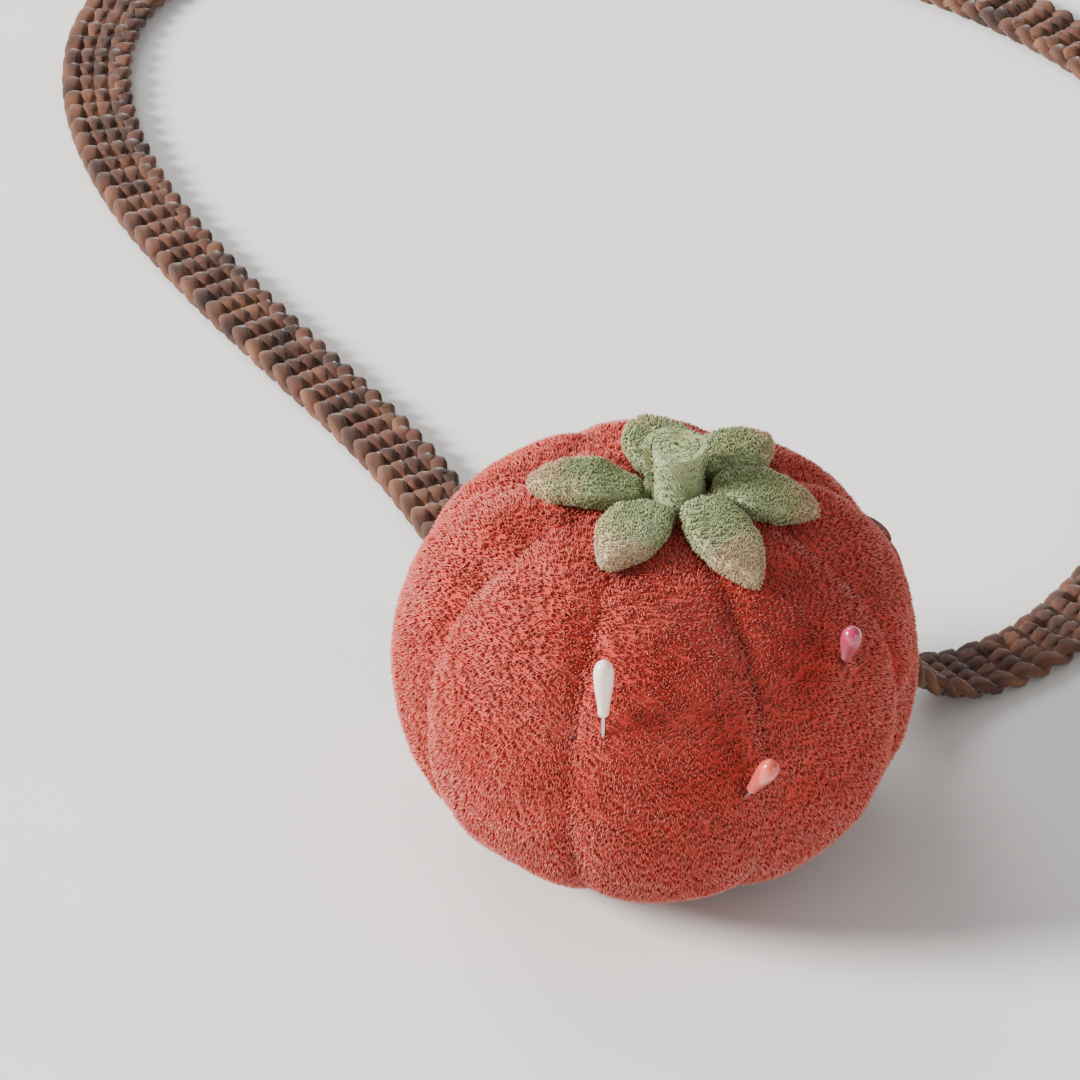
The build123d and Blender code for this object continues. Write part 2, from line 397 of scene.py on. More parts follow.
def filled(piece, sewn, swell, pressure=4.0):
    """Swells a closed form under pressure. Points in the sewn group stay, and no point moves
    further than swell."""
    before = points_of(piece.data)
    set_points(piece.data, before * SIM_SCALE)
    pick(piece)
    modifier = piece.modifiers.new("Cloth", "CLOTH")
    cloth = modifier.settings
    cloth.quality = 6
    cloth.mass = 0.05
    cloth.tension_stiffness = cloth.compression_stiffness = 12
    cloth.shear_stiffness = 4
    cloth.bending_stiffness = 0.3
    cloth.shrink_min = -0.04
    cloth.use_pressure = True
    cloth.uniform_pressure_force = pressure
    cloth.effector_weights.gravity = 0
    if sewn:
        cloth.vertex_group_mass = sewn
    modifier.collision_settings.use_collision = False
    modifier.point_cache.frame_start = 1
    modifier.point_cache.frame_end = SIM_FRAMES
    scene = bpy.context.scene
    for number in range(1, SIM_FRAMES + 1):
        scene.frame_set(number)
    bpy.ops.object.modifier_apply(modifier=modifier.name)
    scene.frame_set(1)
    moved = points_of(piece.data) / SIM_SCALE - before
    far = np.linalg.norm(moved, axis=1, keepdims=True)
    moved *= swell * np.tanh(far / swell) / np.maximum(far, 1e-9)
    set_points(piece.data, before + moved)
    return piece


# Materials


def add(tree, kind, inputs=None, stops=None, **settings):
    """Adds a node with its settings, its inputs as values or sockets, and a ramp's stops."""
    made = tree.nodes.new(kind)
    for name, value in settings.items():
        setattr(made, name, value)
    for name, value in (inputs or {}).items():
        if isinstance(value, bpy.types.NodeSocket):
            tree.links.new(value, made.inputs[name])
        else:
            made.inputs[name].default_value = value
    if stops:
        ramp = made.color_ramp
        while len(ramp.elements) < len(stops):
            ramp.elements.new(0.5)
        for element, (place, tint) in zip(ramp.elements, stops):
            element.position = place
            element.color = tint
    return made


def new_material(name, **shader_inputs):
    """A material with a Principled shader. Inputs are its constants, with _ for a space."""
    material = bpy.data.materials.new(name)
    material.use_nodes = True
    tree = material.node_tree
    tree.nodes.clear()
    named = {key.replace("_", " "): value for key, value in shader_inputs.items()}
    shader = add(tree, "ShaderNodeBsdfPrincipled", named)
    add(tree, "ShaderNodeOutputMaterial", {"Surface": shader.outputs[0]})
    return material, tree, shader


def grey(value):
    return (value, value, value, 1)


def per_mm(size):
    """Noise scale for features of a size in millimetres."""
    return 1000 / size


def bands_per_mm(size):
    """Wave scale for bands of a size in millimetres. A wave has about 20 bands for each unit."""
    return per_mm(size) / 20


def toned(tint, factor, lift=0.0):
    """A linear colour made darker or paler."""
    return (*(min(1.0, c * factor + lift) for c in tint[:3]), 1)


def pile_material(name, deep, body, tip, other, sheen, patch=9.0, edge=None, glow=1.0):
    """Cut pile of soft polyester fibre. Light sinks in between the fibres, so the roots read dark,
    the tips catch it, and the whole limb glows with sheen. The colour ramp along each tuft paints
    this: painted shade at the root and a painted highlight at the tip."""
    material, tree, shader = new_material(
        name, Roughness=0.9, Sheen_Weight=glow, Sheen_Roughness=0.3, Sheen_Tint=sheen
    )
    place = add(tree, "ShaderNodeTexCoord").outputs["Object"]
    height = add(tree, "ShaderNodeAttribute", attribute_name="pile").outputs["Fac"]
    tone = add(tree, "ShaderNodeAttribute", attribute_name="tone").outputs["Fac"]
    # Painted shade at each tuft's root and a painted highlight at its tip, read off the pile value.
    root_shade_tip_highlight = add(
        tree, "ShaderNodeValToRGB", {"Fac": height}, [(0.0, deep), (0.55, body), (1.0, tip)]
    )
    patches = add(
        tree, "ShaderNodeTexNoise", {"Vector": place, "Scale": per_mm(patch), "Detail": 3.0}
    )
    spread = add(
        tree, "ShaderNodeValToRGB", {"Fac": patches.outputs["Fac"]},
        [(0.35, grey(0)), (0.75, grey(0.8))],
    )
    # A colour mix has its own sockets: 6 and 7 in, and 2 out.
    warmer = add(
        tree, "ShaderNodeMix",
        {0: spread.outputs["Color"], 6: root_shade_tip_highlight.outputs["Color"], 7: other},
        data_type="RGBA", blend_type="SOFT_LIGHT",
    )
    fibres = add(
        tree, "ShaderNodeHueSaturation", {"Color": warmer.outputs[2], "Value": tone}
    )
    last = fibres.outputs["Color"]
    if edge:
        worn = add(tree, "ShaderNodeAttribute", attribute_name="worn").outputs["Fac"]
        last = add(
            tree, "ShaderNodeMix", {0: worn, 6: last, 7: edge}, data_type="RGBA"
        ).outputs[2]
    tree.links.new(last, shader.inputs["Base Color"])
    fuzz = add(tree, "ShaderNodeTexNoise", {"Vector": place, "Scale": per_mm(0.35), "Detail": 4.0})
    bump = add(
        tree, "ShaderNodeBump",
        {"Height": fuzz.outputs["Fac"], "Strength": 0.6, "Distance": mm(0.25)},
    )
    tree.links.new(bump.outputs["Normal"], shader.inputs["Normal"])
    return material


def felt_material(name, base, sheen):
    """Pressed wool felt: matted fibres give a mottled, matt face with short stray hairs."""
    material, tree, shader = new_material(
        name, Roughness=0.92, Sheen_Weight=0.3, Sheen_Roughness=0.5, Sheen_Tint=sheen
    )
    place = add(tree, "ShaderNodeTexCoord").outputs["Object"]
    matted = add(
        tree, "ShaderNodeTexNoise",
        {"Vector": place, "Scale": per_mm(0.8), "Detail": 6.0, "Distortion": 1.5},
    )
    shade = add(
        tree, "ShaderNodeValToRGB", {"Fac": matted.outputs["Fac"]},
        [(0.3, toned(base, 0.55)), (0.7, base)],
    )
    tree.links.new(shade.outputs["Color"], shader.inputs["Base Color"])
    bump = add(
        tree, "ShaderNodeBump",
        {"Height": matted.outputs["Fac"], "Strength": 0.7, "Distance": mm(0.3)},
    )
    tree.links.new(bump.outputs["Normal"], shader.inputs["Normal"])
    return material


def yarn_material(name, dark, middle, light, ply):
    """Spun cotton yarn, worked along the strand: fine plies wind round it at a slant, and the dye
    took unevenly, so the brown is mottled."""
    material, tree, shader = new_material(
        name, Roughness=0.82, Sheen_Weight=0.2, Sheen_Roughness=0.4
    )
    strand = add(tree, "ShaderNodeUVMap", uv_map="strand").outputs["UV"]
    tone = add(tree, "ShaderNodeAttribute", attribute_name="tone").outputs["Fac"]
    turned = add(
        tree, "ShaderNodeMapping", {"Vector": strand, "Rotation": (0, 0, math.radians(28))}
    )
    plies = add(
        tree, "ShaderNodeTexWave",
        {
            "Vector": turned.outputs["Vector"], "Scale": bands_per_mm(ply),
            "Distortion": 2.0, "Detail": 2.0,
        },
        wave_type="BANDS", bands_direction="X",
    )
    place = add(tree, "ShaderNodeTexCoord").outputs["Object"]
    mottle = add(tree, "ShaderNodeTexNoise", {"Vector": place, "Scale": per_mm(5), "Detail": 4.0})
    both = add(tree, "ShaderNodeMath", {0: mottle.outputs["Fac"], 1: tone}, operation="ADD")
    ramp = add(
        tree, "ShaderNodeValToRGB", {"Fac": both.outputs[0]},
        [(0.30, dark), (0.52, middle), (0.80, light)],
    )
    # The plies' bands are multiplied in: painted shade in the grooves between the plies.
    shaded = add(
        tree, "ShaderNodeMix", {0: 0.35, 6: ramp.outputs["Color"], 7: plies.outputs["Color"]},
        data_type="RGBA", blend_type="MULTIPLY",
    )
    tree.links.new(shaded.outputs[2], shader.inputs["Base Color"])
    bump = add(
        tree, "ShaderNodeBump",
        {"Height": plies.outputs["Fac"], "Strength": 0.8, "Distance": mm(0.2)},
    )
    tree.links.new(bump.outputs["Normal"], shader.inputs["Normal"])
    return material


def thread_material(name, base):
    """Twisted polyester sewing thread, with a slight gloss along its plies."""
    material, tree, shader = new_material(name, Roughness=0.6)
    place = add(tree, "ShaderNodeTexCoord").outputs["Object"]
    twist = add(
        tree, "ShaderNodeTexWave",
        {"Vector": place, "Scale": bands_per_mm(0.35), "Distortion": 1.0},
        wave_type="BANDS", bands_direction="DIAGONAL",
    )
    # Dark bands along the twist: painted shade in the grooves between the plies.
    shade = add(
        tree, "ShaderNodeValToRGB", {"Fac": twist.outputs["Fac"]},
        [(0.1, toned(base, 0.5)), (0.8, base)],
    )
    tree.links.new(shade.outputs["Color"], shader.inputs["Base Color"])
    bump = add(
        tree, "ShaderNodeBump",
        {"Height": twist.outputs["Fac"], "Strength": 0.6, "Distance": mm(0.1)},
    )
    tree.links.new(bump.outputs["Normal"], shader.inputs["Normal"])
    return material


def pearl_material(name, base):
    """Moulded acrylic with a pearl lacquer: soft colour inside a clear, glossy coat, with faint
    swirls where the lacquer ran."""
    material, tree, shader = new_material(
        name, Roughness=0.28, Coat_Weight=0.8, Coat_Roughness=0.06, IOR=1.49,
        Subsurface_Weight=0.15, Subsurface_Scale=mm(0.8), Sheen_Weight=0.1,
    )
    place = add(tree, "ShaderNodeTexCoord").outputs["Object"]
    swirl = add(
        tree, "ShaderNodeTexNoise",
        {"Vector": place, "Scale": per_mm(2.2), "Detail": 2.0, "Distortion": 2.5},
    )
    shade = add(
        tree, "ShaderNodeValToRGB", {"Fac": swirl.outputs["Fac"]},
        [(0.35, base), (0.7, toned(base, 1.2, 0.01))],
    )
    tree.links.new(shade.outputs["Color"], shader.inputs["Base Color"])
    return material


def steel_material(name):
    """Nickel-plated steel wire, drawn and polished, with fine lines along the draw."""
    material, tree, shader = new_material(name, Metallic=1.0, Base_Color=colour("#C9CBCE"))
    place = add(tree, "ShaderNodeTexCoord").outputs["Object"]
    drawn = add(tree, "ShaderNodeTexNoise", {"Vector": place, "Scale": per_mm(0.5), "Detail": 3.0})
    rough = add(
        tree, "ShaderNodeMapRange",
        {"Value": drawn.outputs["Fac"], "To Min": 0.14, "To Max": 0.30},
    )
    tree.links.new(rough.outputs["Result"], shader.inputs["Roughness"])
    return material


def wadding_material(name):
    """Loose polyester wadding: white tangled fibre."""
    return felt_material(name, colour("#E9E6DF"), colour("#FFFFFF"))


def button_material(name):
    """Moulded urea button: cream, slightly marbled and semi-matt."""
    material, tree, shader = new_material(name, Roughness=0.45, IOR=1.5)
    place = add(tree, "ShaderNodeTexCoord").outputs["Object"]
    marble = add(
        tree, "ShaderNodeTexNoise",
        {"Vector": place, "Scale": per_mm(3), "Detail": 3.0, "Distortion": 1.0},
    )
    shade = add(
        tree, "ShaderNodeValToRGB", {"Fac": marble.outputs["Fac"]},
        [(0.35, colour("#CDBFA2")), (0.65, colour("#E4DAC4"))],
    )
    tree.links.new(shade.outputs["Color"], shader.inputs["Base Color"])
    return material


# Cushion


# What is held while the cover is filled: its seams, its foot and the middle of its top.
SEAM_HELD = mm(0.05)
FOOT_HELD = mm(0.4)
TOP_HELD = mm(5)
# How far inside the cover's face the wadding lies at the waist, in thicknesses of the cover.
WADDING_INSET = 2.8

SEAM_STITCH = mm(2.3)
# Seam stitches start this far out from the middle and this high above the floor.
STITCH_REACH = mm(7)
STITCH_LOWEST = mm(2.5)
# How much stitches slant along their seam, in turn.
STITCH_SLANTS = (0.75, 0.55)

# How high up a tuft the material takes its bend to be, and the backing that shows between tufts.
BEND_HEIGHT = 0.55
BACKING_HEIGHT = 0.6
TUFT_SIDES = 3
TUFT_POINTS = 2 * TUFT_SIDES + 1
# Shares of the pile's length: how deep a tuft's root is sunk, and where the tuft bends.
TUFT_SUNK = 0.15
TUFT_BEND = 0.5
# Its width at the bend, as a share of its width at the root.
TUFT_NARROWING = 0.72
# How far a tuft leans below and above its bend, for a lean of 1.
LEAN_LOW = 0.55
LEAN_HIGH = 1.5
# How much of the lean comes from swirls in the pile, and how much is each tuft's own.
SWIRL = 0.55
STRAY = 0.2
SWIRL_SIZE = mm(4.5)
# Tufts are counted in level rows of this height, from the foot up.
TUFT_ROW = mm(1.5)
# No tuft goes below this height, because what the cushion stands on flattens it.
LOWEST_PILE = mm(0.05)


def outline(up, sizes):
    """Radius and height of the cover at an angle from the foot, -90 degrees, to the stem, 90."""
    power = 2 / sizes.roundness
    across = sizes.radius * max(math.cos(up), 0.0) ** power
    if up < 0:
        height = sizes.waist - sizes.waist * (-math.sin(up)) ** power
        return across, max(height, sizes.base + mm(0.1))
    dimple = sizes.dimple * math.exp(-((across / sizes.dimple_radius) ** 2))
    return across, sizes.waist + (sizes.height - sizes.waist) * math.sin(up) ** power - dimple


def gore_place(points):
    """Which gore each point is in, and how far through it from 0 to 1."""
    turn = (np.arctan2(points[:, 1], points[:, 0]) - FIRST_SEAM) / GORE_TURN % GORES
    return np.floor(turn).astype(int) % GORES, turn % 1


def sewn_form(sizes):
    """The closed cover before it is filled: a sphere pressed to the outline, with its seams
    pulled in."""
    deselect()
    bpy.ops.mesh.primitive_uv_sphere_add(
        segments=GORES * PANEL_COLUMNS, ring_count=PANEL_ROWS, radius=1, rotation=(0, 0, FIRST_SEAM)
    )
    form = bpy.context.object
    bpy.ops.object.transform_apply(location=False, rotation=True, scale=False)
    points = points_of(form.data)
    around = np.arctan2(points[:, 1], points[:, 0])
    ups = np.clip(points[:, 2], -1, 1)
    across, height = np.array([outline(math.asin(up), sizes) for up in ups]).T
    gore, share = gore_place(points)
    seam = np.minimum(share, 1 - share) * GORE_TURN * across
    held = (seam < SEAM_HELD) | (height < sizes.base + FOOT_HELD) | (across < TOP_HELD)
    draw = np.array(SEAM_DRAW)[(gore + (share > 0.5)) % GORES]
    # The pull is strongest at the waist, where the cover is widest, and points inwards all round.
    level = np.clip(across / sizes.radius, 0, 1)
    pull = sizes.tuck * draw * level**0.7 * np.exp(-((seam / sizes.tuck_reach) ** 2))
    across = across - pull * np.sqrt(level)
    height = height - pull * np.sqrt(1 - level**2) * np.sign(height - sizes.waist)
    set_points(
        form.data, np.stack([across * np.cos(around), across * np.sin(around), height], 1)
    )
    group = form.vertex_groups.new(name="sewn")
    group.add([int(i) for i in np.flatnonzero(held)], 1.0, "REPLACE")
    return form


def gore_of(form, number):
    """One gore of the filled form, with the filling's lumps."""
    gore = copied(form, f"plush_gore_{number + 1}")
    pick(gore)
    middles = np.array([face.center for face in gore.data.polygons])
    bpy.context.tool_settings.mesh_select_mode = (False, False, True)
    gore.data.polygons.foreach_set("select", gore_place(middles)[0] != number)
    bpy.ops.object.mode_set(mode="EDIT")
    bpy.ops.mesh.delete(type="FACE")
    bpy.ops.object.mode_set(mode="OBJECT")
    modify(gore, "SUBSURF", levels=2, render_levels=2)
    set_points(gore.data, lumpy(gore, (mm(9), mm(0.35), 1), (mm(3.5), mm(0.12), 2)))
    return gore


def pile(name, skin, count, length, width, comb, seed, worn=None):
    """Tufts of pile on a surface: each is a bent, closed, three-sided spike with its root below the
    surface. comb is how far it lies down, towards the floor."""
    mesh = skin.data
    mesh.calc_loop_triangles()
    points, normals = points_of(mesh), normals_of(mesh)
    corners = np.array([t.vertices for t in mesh.loop_triangles])
    a, b, c = (points[corners[:, k]] for k in range(3))
    area = np.linalg.norm(np.cross(b - a, c - a), axis=1)
    rng = np.random.default_rng(seed)
    chosen = rng.choice(len(corners), count, p=area / area.sum())
    u, v = rng.random((2, count))
    over = u + v > 1
    u[over], v[over] = 1 - u[over], 1 - v[over]
    weights = np.stack([1 - u - v, u, v], 1)[:, :, None]
    root = (points[corners[chosen]] * weights).sum(1)
    normal = unit((normals[corners[chosen]] * weights).sum(1))
    order = np.lexsort((root[:, 0], np.round(root[:, 2] / TUFT_ROW)))
    root, normal = root[order], normal[order]
    down = lying(np.array([0, 0, -1.0]), normal)
    swirl = lying(np.array([noise.noise_vector(Vector(p) / SWIRL_SIZE) for p in root]), normal)
    stray = lying(rng.normal(size=(count, 3)), normal)
    lean = down * comb + swirl * SWIRL + stray * STRAY
    first = unit(normal + LEAN_LOW * lean)
    last = unit(normal + LEAN_HIGH * lean)
    long = length * rng.uniform(0.75, 1.15, (count, 1))
    side = unit(np.cross(first, rng.normal(size=(count, 3))))
    other = np.cross(first, side)
    foot = root - normal * length * TUFT_SUNK
    middle = root + first * long * TUFT_BEND
    made = np.empty((count, TUFT_POINTS, 3))
    for k in range(TUFT_SIDES):
        angle = math.tau * k / TUFT_SIDES
        out = side * math.cos(angle) + other * math.sin(angle)
        made[:, k] = foot + out * width
        made[:, TUFT_SIDES + k] = middle + out * width * TUFT_NARROWING
    made[:, -1] = middle + last * long * (1 - TUFT_BEND)
    made[:, :, 2] = np.maximum(made[:, :, 2], LOWEST_PILE)
    shape = np.array(tuft_faces())
    faces = (shape[None] + TUFT_POINTS * np.arange(count)[:, None, None]).reshape(-1, 3)
    tufts = mesh_piece(name, made.reshape(-1, 3), faces.tolist())
    smooth(tufts)
    # Root, bend and tip values: the root takes the painted shade and the tip the painted highlight.
    heights = [0.0] * TUFT_SIDES + [BEND_HEIGHT] * TUFT_SIDES + [1.0]
    add_values(tufts, "pile", np.tile(heights, count))
    tone = np.clip(rng.normal(1.0, 0.08, count), 0.75, 1.3)
    add_values(tufts, "tone", np.repeat(tone, TUFT_POINTS))
    if worn is not None:
        add_values(tufts, "worn", np.repeat(worn(root), TUFT_POINTS))
    lay_out_tufts(tufts, count)
    return tufts


def tuft_faces():
    """A tuft's triangles: its foot, two for each side below the bend, and one for each above."""
    faces = [(0, 2, 1)]
    turn = [(k, (k + 1) % TUFT_SIDES) for k in range(TUFT_SIDES)]
    for a, b in turn:
        faces += [(a, b, TUFT_SIDES + b), (a, TUFT_SIDES + b, TUFT_SIDES + a)]
    return faces + [(TUFT_SIDES + a, TUFT_SIDES + b, TUFT_POINTS - 1) for a, b in turn]


def lay_out_tufts(tufts, count):
    """A map with a cell for each tuft, its sides next to each other from root to tip."""
    across = math.ceil(math.sqrt(count))
    # In the order of tuft_faces: the foot lies below 0.1, the bend is at 0.5 and the tip at 0.98.
    layout = [(0.1, 0.0), (2.9, 0.0), (1.5, 0.08)]
    for k in range(TUFT_SIDES):
        low, high = (k, 0.1), (k, 0.5)
        layout += [low, (k + 1, 0.1), (k + 1, 0.5), low, (k + 1, 0.5), high]
    for k in range(TUFT_SIDES):
        layout += [(k, 0.5), (k + 1, 0.5), (k + 0.5, 0.98)]
    cell = np.array(layout) / (TUFT_SIDES, 1) * 0.9 + 0.05
    number = np.arange(count)
    corner = np.stack([number % across, number // across], 1)[:, None]
    add_map(tufts, "OFBake", (corner + cell[None]) / across)


def backing_attributes(piece, worn=None):
    """Values that the pile's material reads, for the cloth that the pile stands on."""
    count = len(piece.data.vertices)
    add_values(piece, "pile", [BACKING_HEIGHT] * count)
    add_values(piece, "tone", [1.0] * count)
    if worn is not None:
        add_values(piece, "worn", worn(points_of(piece.data)))


class PINCUSHION_OT_cushion(bpy.types.Operator):
    """Sews the cover from its gores, fills it, raises its pile and packs the wadding"""

    bl_idname = "pincushion.cushion"
    bl_label = "Plush cushion"

    def execute(self, context):
        sizes = context.scene.pincushion_cushion
        material = pile_material(
            "red_polyester_plush", tuple(sizes.deep), tuple(sizes.body), tuple(sizes.tip),
            tuple(sizes.warm), colour("#FFC4B4"),
        )
        form = filled(sewn_form(sizes), "sewn", sizes.swell)
        self.seams(context, form)
        for number in range(GORES):
            gore = gore_of(form, number)
            tufts = pile(
                f"plush_pile_{number + 1}", gore, sizes.tufts, sizes.pile, sizes.tuft,
                comb=0.4, seed=40 + number,
            )
            modify(gore, "SOLIDIFY", thickness=sizes.cloth, offset=-1)
            smooth(gore)
            backing_attributes(gore)
            dress(gore, material, stands_for=[f"gore_{number + 1}"])
            dress(tufts, material)
        self.wadding(form, sizes)
        return {"FINISHED"}

    def seams(self, context, form):
        """Ladder stitches along each seam's valley, of one stitch that is copied."""
        strap = context.scene.pincushion_strap
        points = points_of(form.data)
        share = gore_place(points)[1]
        reach = np.hypot(points[:, 0], points[:, 1])
        near = np.minimum(share, 1 - share) < 0.001
        near &= (reach > STITCH_REACH) & (points[:, 2] > STITCH_LOWEST)
        turns = np.round((np.arctan2(points[:, 1], points[:, 0]) - FIRST_SEAM) / GORE_TURN) % GORES
        spots = []
        for number in range(GORES):
            line = points[near & (turns == number)]
            line = line[np.argsort(line[:, 2])]
            far = run_length(line)
            for step in np.arange(strap.stitch, far[-1], strap.stitch):
                here, there = sampled((step, step + mm(0.5)), far, line)
                spots.append((here, unit(there - here), number))
        stitches = []
        model = stitch(SEAM_STITCH, strap.thread, "seam_stitch")
        for count, (here, along, number) in enumerate(spots):
            angle = FIRST_SEAM + GORE_TURN * number
            side = np.array([-math.sin(angle), math.cos(angle), 0])
            out = np.cross(side, along)
            if out[:2] @ here[:2] <= 0:
                out = -out
            slant = unit(side + along * STITCH_SLANTS[count % 2])
            stitches.append(laid(model, here + out * mm(0.1), slant, out, f"stitch_{count}"))
        bpy.data.objects.remove(model)
        thread = smooth(joined(stitches, "seam_stitches"))
        material = thread_material("dark_red_thread", tuple(strap.seam))
        dress(thread, material, stands_for=["seam_threads"])

    def wadding(self, form, sizes):
        """The packed fibre inside, a lumpy form that fills the cover."""
        points = points_of(form.data)
        centre = np.array([0, 0, sizes.waist])
        inner = centre + (points - centre) * (1 - WADDING_INSET * sizes.cloth / sizes.radius)
        inner += unit(points - centre) * (wander(points, mm(6), 5) * mm(0.3))[:, None]
        set_points(form.data, inner)
        form.vertex_groups.clear()
        form.name = form.data.name = "wadding"
        smooth(form)
        dress(form, wadding_material("white_wadding"), stands_for=["stuffing"])


def stitch(length, thickness, name):
    """One stitch along X: a thread that rises from the cloth, lies on it and dips in again."""
    deselect()
    bpy.ops.mesh.primitive_uv_sphere_add(
        segments=8, ring_count=8, radius=1, rotation=(0, math.pi / 2, 0)
    )
    piece = bpy.context.object
    bpy.ops.object.transform_apply(location=False, rotation=True, scale=False)
    points = points_of(piece.data)
    # A thread is fuller than a sphere towards its ends, and dips there.
    along = points[:, 0].copy()
    fat = np.sqrt(np.maximum(1 - along**6, 0)) / np.maximum(np.sqrt(1 - along**2), 1e-6)
    fat[np.abs(along) > 0.999] = 0
    points[:, 0] = along * length / 2
    points[:, 1] *= fat * thickness / 2
    points[:, 2] *= fat * thickness / 2
    points[:, 2] -= (along**2) * thickness * 0.9
    set_points(piece.data, points)
    piece.name = piece.data.name = name
    return piece


def laid(model, place, along, up, name):
    """A copy of a model laid at a place, its X along a direction and its Z up from the cloth."""
    along, up = Vector(along).normalized(), Vector(up).normalized()
    across = up.cross(along).normalized()
    up = along.cross(across)
    turn = Matrix((along, across, up)).transposed().to_4x4()
    piece = copied(model, name)
    piece.data.transform(Matrix.Translation(Vector(place)) @ turn)
    return piece


# Calyx and stem


STEM_TURNS = 3.1
STEM_STEPS = 66
STEM_LEVELS = 7
STEM_START = math.radians(150)
STEM_WAIST = 0.13
# In thicknesses of its felt: the radius where the roll starts, and the felt once it is rolled,
# which leaves a line between the turns.
STEM_CORE = 0.35
STEM_ROLLED = 0.94


class PINCUSHION_OT_calyx(bpy.types.Operator):
    """Makes the stuffed felt leaves and rolls the stem"""

    bl_idname = "pincushion.calyx"
    bl_label = "Calyx and stem"

    def execute(self, context):
        sizes = context.scene.pincushion_calyx
        stem, *leaves = (sum(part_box(node), Vector()) / 2 for node in ("stem", *leaf_names()))
        reach = max((leaf - stem).xy.length for leaf in leaves)

        def worn(points):
            """From 0 to 0.8 towards the leaves' ends, with a ragged edge."""
            far = np.hypot(points[:, 0] - stem.x, points[:, 1] - stem.y) / reach
            rough = wander(points, mm(2.5), 8) * 0.25
            return np.clip((far - 1.05 + rough) / 0.45, 0, 0.8)

        material = pile_material(
            "sage_green_felt", tuple(sizes.deep), tuple(sizes.body), tuple(sizes.tip),
            colour("#8C8A5C"), colour("#DCE0C0"), patch=5.0, edge=tuple(sizes.worn), glow=0.4,
        )
        for number, node in enumerate(leaf_names()):
            leaf = node_copy(node, f"felt_leaf_{number + 1}")
            modify(leaf, "REMESH", mode="VOXEL", voxel_size=sizes.voxel)
            filled(leaf, None, sizes.swell, pressure=2.5)
            modify(leaf, "SMOOTH", factor=0.5, iterations=4)
            modify(leaf, "SUBSURF", levels=1, render_levels=1)
            smooth(leaf)
            set_points(leaf.data, lumpy(leaf, (mm(3), mm(0.22), 3 + number)))
            tufts = pile(
                f"leaf_nap_{number + 1}", leaf, sizes.tufts, sizes.nap, sizes.fibre,
                comb=0.25, seed=60 + number, worn=worn,
            )
            backing_attributes(leaf, worn)
            dress(leaf, material, stands_for=[node])
            dress(tufts, material)
        self.stem(sizes, material)
        return {"FINISHED"}

    def stem(self, sizes, material):
        """A strip of felt rolled up tight, narrower at its middle."""
        low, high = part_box("stem")
        centre = (low + high) / 2
        outer = (high.x - low.x) / 2
        start = sizes.felt * STEM_CORE
        end = outer - sizes.felt / 2
        points, faces = [], []
        for level in range(STEM_LEVELS):
            for step in range(STEM_STEPS + 1):
                share = step / STEM_STEPS
                angle = math.tau * STEM_TURNS * share + STEM_START
                radius = start + (end - start) * share
                z = low.z + (high.z - low.z) * level / (STEM_LEVELS - 1)
                points.append((radius * math.cos(angle), radius * math.sin(angle), z))
        row = STEM_STEPS + 1
        for level in range(STEM_LEVELS - 1):
            for step in range(STEM_STEPS):
                a = level * row + step
                faces.append((a, a + 1, a + row + 1, a + row))
        roll = mesh_piece("felt_stem", points, faces)
        modify(
            roll, "SOLIDIFY", thickness=sizes.felt * STEM_ROLLED, offset=0, use_even_offset=True
        )
        modify(roll, "BEVEL", width=mm(0.35), segments=2, limit_method="ANGLE")
        modify(roll, "SUBSURF", levels=1, render_levels=1)
        made = points_of(roll.data)
        share = (made[:, 2] - low.z) / (high.z - low.z)
        waist = 1 - STEM_WAIST * np.sin(np.pi * np.clip(share, 0, 1)) ** 1.5
        made[:, :2] *= waist[:, None]
        made[:, 2] += wander(made, mm(3), 21) * mm(0.25) * share
        sway = np.stack([wander(made, mm(3.5), seed) for seed in (22, 23)], 1)
        made[:, :2] += sway * mm(0.2)
        made[:, 0] += centre.x
        made[:, 1] += centre.y
        set_points(roll.data, made)
        smooth(edit_all(roll, bpy.ops.mesh.normals_make_consistent, inside=False))
        tufts = pile(
            "stem_nap", roll, sizes.tufts, sizes.nap * 0.7, sizes.fibre, comb=0.1, seed=70
        )
        backing_attributes(roll)
        dress(roll, material, stands_for=["stem"])
        dress(tufts, material)


def leaf_names():
    return [f"calyx_leaf_{number + 1}" for number in range(LEAVES)]


# Strap


# The strap's strands: points round each, distance between its rings, and how square it is.
STRAND_POINTS = 10
STRAND_STEP = mm(0.8)
STRAND_SQUARENESS = 0.75
# A strand's girth, as a share of its width.
STRAND_GIRTH = 2.4
# How much the strands differ in tone.
STRAND_TONES = 0.1
# The strap's map has a row for each length of this much.
MAP_ROW = mm(60)

BAR_STITCH = mm(7.0)
BAR_THREAD = mm(0.9)
BAR_SPACING = mm(0.75)
# An anchor drawn in by its thread: its height as a share, and how far in and down it is drawn.
DRAWN_HEIGHT = 0.66
DRAWN_IN = mm(0.9)
DRAWN_DOWN = mm(0.8)
# Its outline: its width and the height of its widest place, as shares, and how full it is.
DRAWN_WIDTH = 0.86
DRAWN_WIDEST = 0.35
DRAWN_FULLNESS = 3


def strap_line():
    """Points along the strap's smooth centreline, close together."""
    curve = bpy.data.curves.new("strap_route", "CURVE")
    curve.dimensions = "3D"
    curve.resolution_u = 24
    spline = curve.splines.new("NURBS")
    spline.points.add(len(STRAP_ROUTE) - 1)
    for point, place in zip(spline.points, STRAP_ROUTE):
        point.co = (*place, 1)
    spline.order_u = 3
    spline.use_endpoint_u = True
    route = bpy.data.objects.new("strap_route", curve)
    mesh = bpy.data.meshes.new_from_object(route)
    line = points_of(mesh)
    bpy.data.objects.remove(route)
    bpy.data.meshes.remove(mesh)
    return line


def swing(phase):
    """A strand's place across the braid, from -1 to 1, with rounded turns at both edges."""
    sharp = 0.94
    return np.arcsin(sharp * np.sin(math.tau * phase)) / math.asin(sharp)


